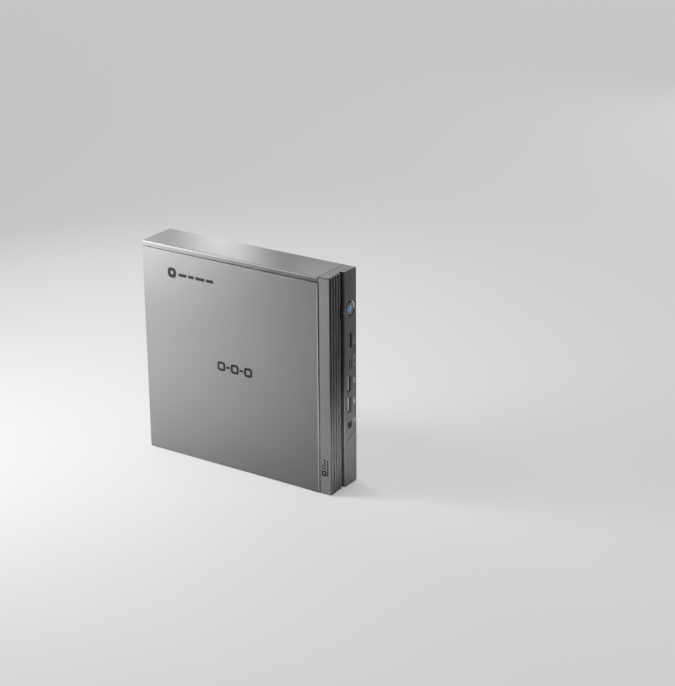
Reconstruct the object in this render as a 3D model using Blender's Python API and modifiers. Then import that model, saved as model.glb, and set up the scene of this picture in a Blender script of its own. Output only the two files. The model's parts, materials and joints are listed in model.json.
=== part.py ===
"""Flat, square mini computer, modelled as separate pieces. Metres, +Z up.

+X is the narrow side with the power button and the front sockets, -Y is the large side cover,
+Y is the bracket side and -X is the narrow side with the rear sockets.
The origin is the centre of the underside of the whole box.
"""
from math import acos, cos, pi, radians, sin, tan

import bmesh
import bpy
from mathutils import Vector

# ---- driving dimensions -------------------------------------------------------------------
SIDE = 0.178                  # width along X and height along Z
BODY_DEPTH = 0.0374           # casing thickness along Y, side cover included
FOOT_STANDOUT = 0.0012        # how far the rubber feet stand out of the bracket side
WALL = 0.0018                 # casing wall
GAP = 0.0003                  # clearance between touching pieces

END = SIDE / 2
COVER_Y = -(BODY_DEPTH + FOOT_STANDOUT) / 2
BACK_Y = COVER_Y + BODY_DEPTH
INNER_BACK_Y = BACK_Y - WALL
FRONT_Y = COVER_Y + 0.0005    # the sleeve and the bezel strip lie this much behind the cover
EDGE_RADIUS = 0.0013
BACK_RADIUS = 0.0016
OFFSET = 0.00002              # keeps the faces of two crossing solids out of one plane

LIP_HEIGHT = 0.0041           # sleeve lip above the side cover
LIP_DEPTH = 0.0016
SILL_HEIGHT = 0.0009          # sleeve sill below the side cover

BEZEL_SEAM_X = END - 0.0108   # where the sleeve meets the front bezel
BEZEL_BACK_X = BEZEL_SEAM_X + 0.0005
BEZEL_WALL = 0.0022
RIB_COUNT = 4
RIB_PITCH = 0.0038
RIB_GROOVE = 0.0015
RIB_DEPTH = 0.0020
FIRST_GROOVE_Y = FRONT_Y + 0.0011
STRIP_RECESS = 0.0004         # the strip's edge lies this far behind the socket panel
RIB_STEP = 0.0002             # each rib lies this much deeper than the one before it
SLOT_Y = (COVER_Y + 0.0169, COVER_Y + 0.0200)
SLOT_FLOOR_X = END - 0.0036
SLOT_WALL = 0.0015
PANEL_RADIUS = 0.0011
CORNER_LEFT_Y = COVER_Y + 0.0237
CORNER_TOP_Z = (0.0373, 0.0458)  # the corner insert's slanted top edge, left and right end

COVER_X = (-END, BEZEL_BACK_X - 0.00025)
COVER_Z = (SILL_HEIGHT + GAP, SIDE - LIP_HEIGHT - 0.0004)
COVER_THICKNESS = 0.0012

REAR_PLATE_X = (-END + 0.0015, -END + 0.0030)
REAR_MOUTH_X = -END + 0.0007  # where the rear sockets' mouths lie

BOARD_TOP_Y = COVER_Y + 0.0303
BOARD_THICKNESS = 0.0016
BOARD_BACK_Y = BOARD_TOP_Y + BOARD_THICKNESS
PART_BASE_Y = BOARD_TOP_Y - GAP

BUTTON_YZ = (COVER_Y + 0.0284, 0.1465)
COLLAR_RADIUS = 0.0092
USB_A_CARRIER_SHIFT = 0.0008  # a USB-A contact carrier lies off the socket's centre line
SLOT_BEND_RADIUS = 0.0129
CAP_RADIUS = 0.0051
RING_RADIUS = 0.00665

FAN_XZ = (-0.028, 0.136)
FAN_Y = (-0.0130, 0.0010)     # blower housing
BLADE_COUNT = 23
BLADE_TIP = 0.0270
FAN_HUB = 0.0110
FAN_SHAFT = 0.0015

FOOT_XZ = [(x, z) for x in (-0.072, 0.072) for z in (0.018, 0.160)]
INSERT_XZ = [(x, 0.089 + z) for x in (-0.050, 0.050) for z in (-0.050, 0.050)]

MATERIALS = {                 # colour, roughness, metallic
    "cover_paint": ((0.30, 0.30, 0.31), 0.38, 0.6),
    "sleeve_paint": ((0.26, 0.26, 0.27), 0.40, 0.6),
    "bezel_plastic": ((0.20, 0.20, 0.21), 0.42, 0.2),
    "dark_plastic": ((0.03, 0.03, 0.03), 0.55, 0.0),
    "button_plastic": ((0.06, 0.06, 0.065), 0.40, 0.0),
    "button_ring": ((0.12, 0.12, 0.125), 0.25, 0.8),
    "icon_lens": ((0.05, 0.45, 0.75), 0.30, 0.0),
    "screen_mesh": ((0.02, 0.02, 0.02), 0.70, 0.3),
    "steel": ((0.60, 0.60, 0.60), 0.30, 1.0),
    "socket_tongue": ((0.50, 0.50, 0.48), 0.50, 0.0),
    "rubber": ((0.03, 0.03, 0.03), 0.90, 0.0),
    "brass": ((0.70, 0.52, 0.22), 0.35, 1.0),
    "circuit_board": ((0.02, 0.09, 0.05), 0.55, 0.0),
    "chip_black": ((0.03, 0.03, 0.035), 0.50, 0.0),
    "copper": ((0.72, 0.38, 0.24), 0.30, 1.0),
    "aluminium": ((0.75, 0.75, 0.76), 0.35, 1.0),
}

PLANE_TURNS = {"XY": (0, 0, 0), "YZ": (pi / 2, 0, pi / 2), "XZ": (pi / 2, 0, 0)}
AXIS_TURNS = {"X": (0, pi / 2, 0), "Y": (-pi / 2, 0, 0), "Z": (0, 0, 0), "-X": (0, -pi / 2, 0),
              "-Y": (pi / 2, 0, 0)}


# ---- scene and material helpers -----------------------------------------------------------
def clear_scene():
    for old in list(bpy.data.objects):
        bpy.data.objects.remove(old, do_unlink=True)


def make_collection(name):
    made = bpy.data.collections.new(name)
    bpy.context.scene.collection.children.link(made)
    return made


def make_material(slot):
    color, roughness, metallic = MATERIALS[slot]
    material = bpy.data.materials.new(slot)
    material.use_nodes = True
    shader = material.node_tree.nodes["Principled BSDF"]
    shader.inputs["Base Color"].default_value = (*color, 1.0)
    shader.inputs["Roughness"].default_value = roughness
    shader.inputs["Metallic"].default_value = metallic
    material.diffuse_color = (*color, 1.0)
    return material


def place(mesh, name, slot, location=(0, 0, 0), turn=(0, 0, 0)):
    """Add a mesh as a part with its own material, or as a cutter when slot is None."""
    made = bpy.data.objects.new(name, mesh)
    made.location = location
    made.rotation_euler = turn
    if slot is None:
        CUTTERS.objects.link(made)
        made.hide_render = True
        made.display_type = "WIRE"
    else:
        PARTS.objects.link(made)
        mesh.materials.clear()
        mesh.materials.append(SLOTS[slot])
    return made


def smooth(made, angle=32):
    made.data.shade_smooth()
    made.data.set_sharp_from_angle(angle=radians(angle))


# ---- shape helpers ------------------------------------------------------------------------
def box(name, slot, low, high, bevel=0.0):
    """A box between two corners, with its edges rounded when bevel is given."""
    middle = (Vector(low) + Vector(high)) / 2
    size = Vector(high) - Vector(low)
    shape = bmesh.new()
    bmesh.ops.create_cube(shape, size=1.0)
    bmesh.ops.scale(shape, vec=size, verts=shape.verts)
    mesh = bpy.data.meshes.new(name)
    shape.to_mesh(mesh)
    shape.free()
    made = place(mesh, name, slot, middle)
    if bevel:
        rounding = made.modifiers.new("edges", "BEVEL")
        rounding.width = bevel
        rounding.segments = 2
        smooth(made, 50)
    return made


def cylinder(name, slot, center, axis, radius, length, sides=24):
    shape = bmesh.new()
    bmesh.ops.create_cone(shape, cap_ends=True, segments=sides, radius1=radius, radius2=radius,
                          depth=length)
    mesh = bpy.data.meshes.new(name)
    shape.to_mesh(mesh)
    shape.free()
    made = place(mesh, name, slot, center, AXIS_TURNS[axis])
    smooth(made)
    return made


def turned(name, slot, profile, location, axis, closed=False, steps=32):
    """A turned piece: profile points are (radius, height), outer side from top to bottom."""
    mesh = bpy.data.meshes.new(name)
    count = len(profile)
    edges = [(i, i + 1) for i in range(count - 1)]
    if closed:
        edges.append((count - 1, 0))
    mesh.from_pydata([(r, 0, h) for r, h in profile], edges, [])
    made = place(mesh, name, slot, location, AXIS_TURNS[axis])
    screw = made.modifiers.new("turn", "SCREW")
    screw.steps = screw.render_steps = steps
    screw.use_merge_vertices = True
    screw.merge_threshold = 0.00001
    screw.use_smooth_shade = False
    return made


def rounded(corners, steps=4):
    """Outline points from (u, v, radius) corners, with an arc at each corner that has a radius."""
    points = []
    count = len(corners)
    for i, (u, v, radius) in enumerate(corners):
        here = Vector((u, v))
        if radius == 0:
            points.append((u, v))
            continue
        before = (Vector(corners[i - 1][:2]) - here).normalized()
        after = (Vector(corners[(i + 1) % count][:2]) - here).normalized()
        half = acos(max(-1.0, min(1.0, before.dot(after)))) / 2
        center = here + (before + after).normalized() * (radius / sin(half))
        start = here + before * (radius / tan(half)) - center
        finish = here + after * (radius / tan(half)) - center
        sweep = start.angle_signed(finish)
        for step in range(steps + 1):
            turn = -sweep * step / steps
            points.append((center.x + start.x * cos(turn) - start.y * sin(turn),
                           center.y + start.x * sin(turn) + start.y * cos(turn)))
    return points


def rectangle(u, v, width, height, radius=0.0, steps=3):
    """Rounded rectangle outline about a centre."""
    a, b = width / 2, height / 2
    return rounded([(u + a, v + b, radius), (u - a, v + b, radius),
                    (u - a, v - b, radius), (u + a, v - b, radius)], steps)


def prism(name, slot, outline, low, high, plane):
    """A flat outline carried from low to high along the normal of its plane."""
    curve = bpy.data.curves.new(name, "CURVE")
    curve.dimensions = "2D"
    curve.fill_mode = "BOTH"
    curve.extrude = (high - low) / 2
    spline = curve.splines.new("POLY")
    spline.points.add(len(outline) - 1)
    for point, (u, v) in zip(spline.points, outline):
        point.co = (u, v, 0.0, 1.0)
    spline.use_cyclic_u = True
    guide = bpy.data.objects.new(name + "_guide", curve)
    CUTTERS.objects.link(guide)
    bpy.context.view_layer.update()
    solid = guide.evaluated_get(bpy.context.evaluated_depsgraph_get())
    mesh = bpy.data.meshes.new_from_object(solid)
    bpy.data.objects.remove(guide, do_unlink=True)
    shape = bmesh.new()
    shape.from_mesh(mesh)
    bmesh.ops.remove_doubles(shape, verts=shape.verts, dist=0.000001)
    bmesh.ops.recalc_face_normals(shape, faces=shape.faces)
    shape.to_mesh(mesh)
    shape.free()
    middle = (low + high) / 2
    location = {"XY": (0, 0, middle), "YZ": (middle, 0, 0), "XZ": (0, middle, 0)}[plane]
    made = place(mesh, name, slot, location, PLANE_TURNS[plane])
    smooth(made)
    return made


def combine(target, other, operation):
    step = target.modifiers.new(other.name, "BOOLEAN")
    step.operation = operation
    step.object = other
    step.solver = "EXACT"


def cut(target, *cutters):
    for cutter in cutters:
        combine(target, cutter, "DIFFERENCE")


def join(target, *others):
    for other in others:
        combine(target, other, "UNION")


# ---- casing -------------------------------------------------------------------------------
def casing_outline():
    """Outer cross-section of the casing in Y and Z, a hair outside its two large faces."""
    front, back = FRONT_Y - OFFSET, BACK_Y + OFFSET
    return rounded([(back, SIDE, BACK_RADIUS), (front, SIDE, EDGE_RADIUS),
                    (front, 0, SILL_HEIGHT * 0.7), (back, 0, BACK_RADIUS)])


def make_sleeve():
    """Top, bottom and bracket-side walls in one shell, open towards the side cover."""
    lip_y = FRONT_Y + LIP_DEPTH
    outline = rounded([
        (BACK_Y, SIDE, BACK_RADIUS), (FRONT_Y, SIDE, EDGE_RADIUS),
        (FRONT_Y, SIDE - LIP_HEIGHT, 0), (lip_y, SIDE - LIP_HEIGHT, 0),
        (lip_y, SIDE - WALL, 0), (INNER_BACK_Y, SIDE - WALL, 0),
        (INNER_BACK_Y, WALL, 0), (lip_y, WALL, 0),
        (lip_y, SILL_HEIGHT, 0), (FRONT_Y, SILL_HEIGHT, 0),
        (FRONT_Y, 0, SILL_HEIGHT * 0.7), (BACK_Y, 0, BACK_RADIUS)])
    sleeve = prism("housing_sleeve", "sleeve_paint", outline, -END, BEZEL_SEAM_X, "YZ")
    boss_low, boss_high = BOARD_BACK_Y + GAP, INNER_BACK_Y + 0.0004
    for i, (x, z) in enumerate(INSERT_XZ, 1):
        join(sleeve, cylinder(f"insert_boss_{i}", None, (x, (boss_low + boss_high) / 2, z), "Y",
                              0.0050, boss_high - boss_low, 20))
        cut(sleeve, cylinder(f"insert_hole_{i}", None, (x, BACK_Y, z), "Y", 0.0034, 0.0090, 20))
    for i, (x, z) in enumerate(FOOT_XZ, 1):
        cut(sleeve, cylinder(f"foot_pocket_{i}", None, (x, BACK_Y, z), "Y", 0.0063, 0.0016, 24))


def make_side_cover():
    """The large panel: a thin plate with an inner stiffening rim and two screw tabs."""
    plate_back = COVER_Y + COVER_THICKNESS
    cover = box("side_cover", "cover_paint", (COVER_X[0], COVER_Y, COVER_Z[0]),
                (COVER_X[1], plate_back, COVER_Z[1]), bevel=0.0003)
    rim_low = Vector((REAR_PLATE_X[1] + 0.0006, plate_back - 0.0004, COVER_Z[0] + 0.0014))
    rim_high = Vector((COVER_X[1] - 0.0022, plate_back + 0.0018, COVER_Z[1] - 0.0020))
    rim = Vector((0.0012, 0, 0.0012))
    join(cover, box("cover_rim", None, rim_low, rim_high))
    cut(cover, box("cover_rim_hollow", None, rim_low + rim + Vector((0, 0.0004, 0)),
                   rim_high - rim + Vector((0, 0.0020, 0))))
    for i, z in enumerate(cover_screw_heights(), 1):
        join(cover, box(f"cover_tab_{i}", None, (rim_low.x, plate_back - 0.0004, z - 0.004),
                        (rim_low.x + 0.005, COVER_Y + 0.0090, z + 0.004)))
        cut(cover, cylinder(f"cover_tab_hole_{i}", None, (rim_low.x, COVER_Y + 0.0052, z), "X",
                            0.0017, 0.0300, 16))


def cover_screw_heights():
    return (0.0100, SIDE - 0.0120)


def bezel_outline():
    """Cross-section of the bezel in X and Y: strip, ribs, deep slot and socket panel."""
    strip_x = END - STRIP_RECESS
    corners = [(BEZEL_BACK_X, FRONT_Y, 0), (strip_x, FRONT_Y, 0.0006)]
    face_x = strip_x
    for i in range(RIB_COUNT):
        low = FIRST_GROOVE_Y + i * RIB_PITCH
        floor_x = face_x - RIB_DEPTH
        next_x = strip_x - RIB_STEP * (i + 1)
        round_low = 0.00025
        corners += [(face_x, low, round_low), (floor_x, low, 0),
                    (floor_x, low + RIB_GROOVE, 0), (next_x, low + RIB_GROOVE, 0.0004)]
        face_x = next_x
    corners += [(face_x, SLOT_Y[0], 0.0004), (SLOT_FLOOR_X, SLOT_Y[0], 0),
                (SLOT_FLOOR_X, SLOT_Y[1], 0), (END, SLOT_Y[1], PANEL_RADIUS),
                (END, BACK_Y, 0.0008), (BEZEL_BACK_X, BACK_Y, 0)]
    return rounded(corners, 3)


def cut_bezel_hollows(bezel):
    """Open the bezel from its rear rim, leaving thin walls and the slot's own channel."""
    behind = BEZEL_BACK_X - 0.0020
    shallow_x = SLOT_FLOOR_X - SLOT_WALL
    z_low, z_high = WALL, SIDE - WALL
    cut(bezel,
        box("hollow_shallow", None, (behind, COVER_Y + 0.0018, z_low),
            (shallow_x, INNER_BACK_Y, z_high)),
        box("hollow_ribs", None, (behind, COVER_Y + 0.0018, z_low + 0.0001),
            (END - 0.0046, SLOT_Y[0] - SLOT_WALL, z_high - 0.0001)),
        box("hollow_sockets", None, (behind, SLOT_Y[1] + SLOT_WALL, z_low + 0.0001),
            (END - BEZEL_WALL, INNER_BACK_Y - 0.0001, z_high - 0.0001)))


def bend_slot_round_button(bezel):
    """A round collar about the button stands into the slot, and the last rib gives way to it."""
    y, z = BUTTON_YZ
    relief = cylinder("slot_bend", None, (END - 0.0011, y, z), "X", SLOT_BEND_RADIUS, 0.0042, 64)
    cut(relief, box("slot_bend_limit", None, (0, SLOT_Y[1] - 0.0010, 0.1), (0.1, 0.1, 0.2)))
    cut(bezel, relief)
    foot = SLOT_FLOOR_X - 0.0007 - END
    rim = rounded([(0, 0, 0), (COLLAR_RADIUS, 0, 0.0010), (COLLAR_RADIUS, foot, 0)], 3)
    collar = turned("button_collar", None, rim + [(0, foot)], (END, y, z), "X", steps=56)
    cut(collar, box("collar_limit", None, (0, y - 0.0010, 0.1), (0.1, 0.1, 0.2)))
    join(bezel, collar)


def socket_panel_openings():
    """Name, outline in Y and Z of each opening in the socket panel."""
    return [("usb_a_1", rectangle(*FRONT["usb_a_front_1"], 0.0062, 0.0137, 0.0005)),
            ("usb_a_2", rectangle(*FRONT["usb_a_front_2"], 0.0062, 0.0137, 0.0005)),
            ("usb_c", rectangle(*FRONT["usb_c_front"], 0.0041, 0.0099, 0.0020, 5)),
            ("microsd", rectangle(*FRONT["microsd_slot"], 0.0021, 0.0121, 0.0005)),
            ("headset", rectangle(*FRONT["headset_jack"], 0.0066, 0.0066, 0.00329, 7))]


FRONT = {                     # Y and Z of each front socket's centre
    "microsd_slot": (COVER_Y + 0.0291, 0.1206),
    "usb_c_front": (COVER_Y + 0.0278, 0.1023),
    "usb_a_front_1": (COVER_Y + 0.0265, 0.0850),
    "usb_a_front_2": (COVER_Y + 0.0265, 0.0678),
    "headset_jack": (COVER_Y + 0.0270, 0.0512),
}


def make_bezel():
    bezel = prism("front_bezel", "bezel_plastic", bezel_outline(), -0.001, SIDE + 0.001, "XY")
    envelope = prism("bezel_envelope", None, casing_outline(), BEZEL_BACK_X - 0.001,
                     END + 0.001, "YZ")
    combine(bezel, envelope, "INTERSECT")
    cut_bezel_hollows(bezel)
    bend_slot_round_button(bezel)
    y, z = BUTTON_YZ
    cut(bezel, cylinder("button_hole", None, (END, y, z), "X", 0.0069, 0.0200, 36))
    for label, outline in socket_panel_openings():
        cut(bezel, prism("opening_" + label, None, outline, END - 0.006, END + 0.001, "YZ"))
    for i in range(6):
        low = 0.010 + i * 0.0270
        cut(bezel, box(f"slot_window_{i + 1}", None,
                       (BEZEL_BACK_X, SLOT_Y[0] + 0.0006, low),
                       (SLOT_FLOOR_X + 0.0005, SLOT_Y[1] - 0.0006, low + 0.0230)))
    cut(bezel, prism("insert_pocket", None, corner_insert_outline(0.0005), END - 0.0014,
                     END + 0.001, "YZ"))
    for i, (y_low, top) in enumerate([(-0.012, True), (0.004, True),
                                      (-0.012, False), (0.004, False)], 1):
        join(bezel, prism(f"bezel_tab_{i}", None, tab_outline(top), y_low, y_low + 0.0060, "XZ"))


def tab_outline(top):
    """L-shaped tab in X and Z that reaches from the bezel's end wall under the sleeve's wall."""
    reach, root, rear = BEZEL_BACK_X - 0.0055, BEZEL_BACK_X + 0.0003, BEZEL_BACK_X + 0.0015
    under, over, anchor = WALL + 0.0018, WALL + 0.0005, WALL - 0.0006
    points = [(reach, under), (reach, over), (root, over), (root, anchor), (rear, anchor),
              (rear, under)]
    return [(x, SIDE - z) for x, z in points] if top else points


def corner_insert_outline(grow=0.0):
    """Low corner of the socket panel in Y and Z, with a slanted top edge."""
    left = CORNER_LEFT_Y - grow
    low_top, high_top = CORNER_TOP_Z
    slope = (high_top - low_top) / (BACK_Y - CORNER_LEFT_Y)
    right = BACK_Y + (0.001 if grow else -0.0003)
    bottom = -0.001 if grow else 0.0003
    return rounded([(left, bottom, 0), (right, bottom, 0),
                    (right, low_top + grow + slope * (right - left), 0),
                    (left, low_top + grow, 0)])


def make_corner_insert():
    prism("bezel_corner_insert", "bezel_plastic", corner_insert_outline(), END - 0.0011,
          END - 0.0001, "YZ")


def make_vent_screen():
    front_x = SLOT_FLOOR_X - SLOT_WALL - GAP
    box("vent_screen", "screen_mesh", (front_x - 0.0020, SLOT_Y[0] - 0.0010, 0.006),
        (front_x, SLOT_Y[1] + 0.0010, SIDE - 0.006))


def make_feet_and_inserts():
    for i, (x, z) in enumerate(FOOT_XZ, 1):
        turned(f"rubber_foot_{i}", "rubber",
               [(0, 0), (0.0056, 0), (0.0060, -0.0004), (0.0060, -0.0017), (0, -0.0017)],
               (x, BACK_Y + FOOT_STANDOUT, z), "Y", steps=24)
    for i, (x, z) in enumerate(INSERT_XZ, 1):
        turned(f"mount_insert_{i}", "brass",
               [(0.0017, 0), (0.0030, 0), (0.0030, -0.0036), (0.0017, -0.0036)],
               (x, BACK_Y - 0.0001, z), "Y", closed=True, steps=20)


# ---- rear plate ---------------------------------------------------------------------------
REAR = {                      # Y and Z centre, Y and Z outer size of each rear socket
    "dc_inlet": ((BOARD_TOP_Y - 0.0055, 0.0260), (0.0104, 0.0104)),
    "usb_c_rear": ((BOARD_TOP_Y - 0.0021, 0.0390), (0.0032, 0.0090)),
    "hdmi_port_1": ((BOARD_TOP_Y - 0.0037, 0.0530), (0.0060, 0.0150)),
    "hdmi_port_2": ((BOARD_TOP_Y - 0.0037, 0.0710), (0.0060, 0.0150)),
    "usb_a_rear_1": ((BOARD_TOP_Y - 0.0035, 0.0885), (0.0057, 0.0132)),
    "usb_a_rear_2": ((BOARD_TOP_Y - 0.0109, 0.0885), (0.0057, 0.0132)),
    "lan_jack": ((BOARD_TOP_Y - 0.0073, 0.1080), (0.0136, 0.0160)),
}
LOCK_YZ = (-0.0095, 0.0600)
RECOVERY_YZ = (BOARD_TOP_Y - 0.0025, 0.0125)
GRILLE_Z = (0.1185, 0.1600)


def make_rear_plate():
    low_y, high_y = FRONT_Y + LIP_DEPTH + GAP, INNER_BACK_Y - GAP
    plate = prism("rear_plate", "dark_plastic",
                  rectangle((low_y + high_y) / 2, SIDE / 2, high_y - low_y,
                            SIDE - 2 * WALL - 2 * GAP, 0.0008, 2),
                  REAR_PLATE_X[0], REAR_PLATE_X[1], "YZ")
    through = (REAR_PLATE_X[0] - 0.002, REAR_PLATE_X[1] + 0.002)
    for name, ((y, z), (size_y, size_z)) in REAR.items():
        radius = min(size_y, size_z) / 2 - 0.0001 if name in ("usb_c_rear",) else 0.0006
        cut(plate, prism("rear_opening_" + name, None,
                         rectangle(y, z, size_y + 2 * GAP, size_z + 2 * GAP, radius),
                         *through, "YZ"))
    slit = GRILLE_Z[0]
    while slit + 0.0024 <= GRILLE_Z[1]:
        cut(plate, box("grille_slit_%d" % round(slit * 10000), None,
                       (through[0], -0.0125, slit), (through[1], 0.0105, slit + 0.0022)))
        slit += 0.0040
    for i, z in enumerate(cover_screw_heights(), 1):
        cut(plate, cylinder(f"plate_screw_hole_{i}", None, (REAR_PLATE_X[0], COVER_Y + 0.0052, z),
                            "X", 0.0018, 0.010, 16))
    cut(plate, cylinder("recovery_pinhole", None, (REAR_PLATE_X[0], *RECOVERY_YZ), "X", 0.0009,
                        0.010, 16),
        prism("lock_opening", None, rectangle(*LOCK_YZ, 0.0031, 0.0072, 0.0012), *through, "YZ"))


def make_cover_screws():
    head_x = REAR_PLATE_X[0] - GAP
    for i, z in enumerate(cover_screw_heights(), 1):
        turned(f"cover_screw_{i}", "steel",
               [(0, 0.0006), (0.0010, 0.0006), (0.0016, 0.0012), (0.0028, 0.0012), (0.0030, 0.0009),
                (0.0030, 0), (0.0014, 0), (0.0014, -0.0075), (0, -0.0075)],
               (head_x, COVER_Y + 0.0052, z), "-X", steps=20)


def make_lock_frame():
    frame = box("lock_slot_frame", "steel",
                (REAR_PLATE_X[1] + GAP, LOCK_YZ[0] - 0.005, LOCK_YZ[1] - 0.009),
                (REAR_PLATE_X[1] + GAP + 0.0012, LOCK_YZ[0] + 0.005, LOCK_YZ[1] + 0.009))
    cut(frame, prism("lock_frame_opening", None, rectangle(*LOCK_YZ, 0.0031, 0.0072, 0.0012),
                     REAR_PLATE_X[1] - 0.001, REAR_PLATE_X[1] + 0.004, "YZ"))


# ---- sockets ------------------------------------------------------------------------------
def shell_socket(name, center, size, radius, mouth_x, depth, wall=0.0004, steps=3):
    """A drawn steel socket shell, open at its mouth and closed at its back."""
    y, z = center
    inward = 1 if mouth_x < 0 else -1
    low, high = sorted((mouth_x, mouth_x + inward * depth))
    shell = prism(name, "steel", rectangle(y, z, *size, radius, steps), low, high, "YZ")
    hollow_low, hollow_high = sorted((mouth_x - inward * 0.001,
                                      mouth_x + inward * (depth - 0.0010)))
    inner = (size[0] - 2 * wall, size[1] - 2 * wall)
    cut(shell, prism(name + "_hollow", None,
                     rectangle(y, z, *inner, max(radius - wall, 0.0001), steps),
                     hollow_low, hollow_high, "YZ"))
    return shell


def tongue(name, slot, center, size, mouth_x, start, finish):
    """A contact carrier that runs from start to finish behind the mouth."""
    y, z = center
    inward = 1 if mouth_x < 0 else -1
    low, high = sorted((mouth_x + inward * start, mouth_x + inward * finish))
    return box(name, slot, (low, y - size[0] / 2, z - size[1] / 2),
               (high, y + size[0] / 2, z + size[1] / 2))


def make_usb_a(name, center, mouth_x, tongue_slot=None):
    shell = shell_socket(name, center, (0.0057, 0.0132), 0.0004, mouth_x, 0.0140)
    carrier_center = (center[0] + USB_A_CARRIER_SHIFT, center[1])
    if tongue_slot:
        tongue(name + "_tongue", tongue_slot, carrier_center, (0.0018, 0.0111), mouth_x,
               0.0010, 0.0127)
    else:
        join(shell, tongue(name + "_carrier", None, carrier_center, (0.0018, 0.0111), mouth_x,
                           0.0011, 0.0135))


def make_usb_c(name, center, mouth_x):
    shell = shell_socket(name, center, (0.0032, 0.0090), 0.00155, mouth_x, 0.0090, 0.0003, 5)
    join(shell, tongue(name + "_carrier", None, center, (0.0007, 0.0066), mouth_x, 0.0010, 0.0085))


def make_hdmi(name, center, mouth_x):
    shell = shell_socket(name, center, (0.0060, 0.0150), 0.0012, mouth_x, 0.0110, 0.0005, 2)
    join(shell, tongue(name + "_carrier", None, center, (0.0016, 0.0110), mouth_x, 0.0020, 0.0105))


def make_front_sockets():
    mouth = END - 0.0002
    make_usb_a("usb_a_front_1", FRONT["usb_a_front_1"], mouth, "socket_tongue")
    make_usb_a("usb_a_front_2", FRONT["usb_a_front_2"], mouth, "socket_tongue")
    make_usb_c("usb_c_front", FRONT["usb_c_front"], mouth)
    y, z = FRONT["microsd_slot"]
    reader = box("microsd_slot", "steel", (END - 0.0175, BOARD_TOP_Y - GAP - 0.0018, z - 0.0073),
                 (END - BEZEL_WALL - GAP, BOARD_TOP_Y - GAP, z + 0.0073))
    cut(reader, box("microsd_slot_hollow", None, (END - 0.0165, y - 0.0004, z - 0.0056),
                    (END, y + 0.0005, z + 0.0056)))
    y, z = FRONT["headset_jack"]
    jack = box("headset_jack", "dark_plastic", (END - 0.0140, y - 0.0030, z - 0.0032),
               (END - BEZEL_WALL - GAP, y + 0.0028, z + 0.0032))
    join(jack, cylinder("headset_nose", None, (END - 0.0025, y, z), "X", 0.0028, 0.0034, 24))
    cut(jack, cylinder("headset_bore", None, (END - 0.0058, y, z), "X", 0.00178, 0.0140, 20))


def make_rear_sockets():
    make_usb_a("usb_a_rear_1", REAR["usb_a_rear_1"][0], REAR_MOUTH_X)
    make_usb_a("usb_a_rear_2", REAR["usb_a_rear_2"][0], REAR_MOUTH_X)
    make_usb_c("usb_c_rear", REAR["usb_c_rear"][0], REAR_MOUTH_X)
    make_hdmi("hdmi_port_1", REAR["hdmi_port_1"][0], REAR_MOUTH_X)
    make_hdmi("hdmi_port_2", REAR["hdmi_port_2"][0], REAR_MOUTH_X)
    (y, z), (size_y, size_z) = REAR["lan_jack"]
    lan = box("lan_jack", "steel", (REAR_MOUTH_X, y - size_y / 2, z - size_z / 2),
              (REAR_MOUTH_X + 0.0170, y + size_y / 2, z + size_z / 2))
    cut(lan, box("lan_hollow", None, (REAR_MOUTH_X - 0.001, y - 0.0022, z - 0.0060),
                 (REAR_MOUTH_X + 0.0125, y + 0.0052, z + 0.0060)),
        box("lan_latch_notch", None, (REAR_MOUTH_X - 0.001, y - 0.0042, z - 0.0032),
            (REAR_MOUTH_X + 0.0080, y - 0.0020, z + 0.0032)))
    (y, z), (size_y, size_z) = REAR["dc_inlet"]
    inlet = box("dc_inlet", "dark_plastic", (REAR_MOUTH_X, y - size_y / 2, z - size_z / 2),
                (REAR_MOUTH_X + 0.0130, y + size_y / 2, z + size_z / 2))
    cut(inlet, cylinder("dc_bore", None, (REAR_MOUTH_X + 0.0040, y, z), "X", 0.0031, 0.0140, 24))
    join(inlet, cylinder("dc_pin", None, (REAR_MOUTH_X + 0.0064, y, z), "X", 0.0011, 0.0104, 16))


# ---- power button and recovery button -----------------------------------------------------
def make_power_button():
    """Trim ring, moving cap with its light guide, switch and small board."""
    y, z = BUTTON_YZ
    turned("power_button_ring", "button_ring",
           [(0.00535, -0.0012), (0.0063, -0.0001), (0.00645, 0), (RING_RADIUS, -0.0002),
            (RING_RADIUS, -0.0026), (0.00535, -0.0026)],
           (END - 0.0001, y, z), "X", closed=True, steps=40)
    face, flange = -0.0002, -0.0030
    pivot = bpy.data.objects.new("power_button_axis", None)
    pivot.location = (END, y, z)
    PARTS.objects.link(pivot)
    cap = turned("power_button_cap", "button_plastic",
                 [(0, face - 0.0010), (0.0031, face - 0.0010), (0.0031, face),
                  (CAP_RADIUS - 0.0003, face), (CAP_RADIUS, face - 0.0003),
                  (CAP_RADIUS, flange), (0.0062, flange), (0.0062, flange - 0.0010),
                  (0.0016, flange - 0.0010), (0.0016, -0.0058), (0, -0.0058)],
                 (0, 0, 0), "X", steps=40)
    guide = turned("power_button_light_guide", "icon_lens",
                   [(0, face), (0.0028, face), (0.0028, face - 0.0008), (0, face - 0.0008)],
                   (0, 0, 0), "X", steps=32)
    cap.parent = guide.parent = pivot
    box("power_switch", "chip_black", (END - 0.0098, y - 0.003, z - 0.003),
        (END - 0.0066, y + 0.0005, z + 0.003))
    box("button_board", "circuit_board", (END - 0.0111, y - 0.0140, z - 0.010),
        (END - 0.0101, y + 0.0015, z + 0.010))


def make_recovery_button():
    """Small plunger behind the pinhole, and the switch that it presses."""
    y, z = RECOVERY_YZ
    turned("recovery_button", "button_plastic",
           [(0, 0), (0.0012, 0), (0.0014, -0.0002), (0.0014, -0.0024), (0, -0.0024)],
           (REAR_PLATE_X[1] + GAP, y, z), "-X", steps=16)
    box("recovery_switch", "chip_black", (REAR_PLATE_X[1] + 0.0034, y - 0.0020, z - 0.0030),
        (REAR_PLATE_X[1] + 0.0075, PART_BASE_Y, z + 0.0030))


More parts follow.
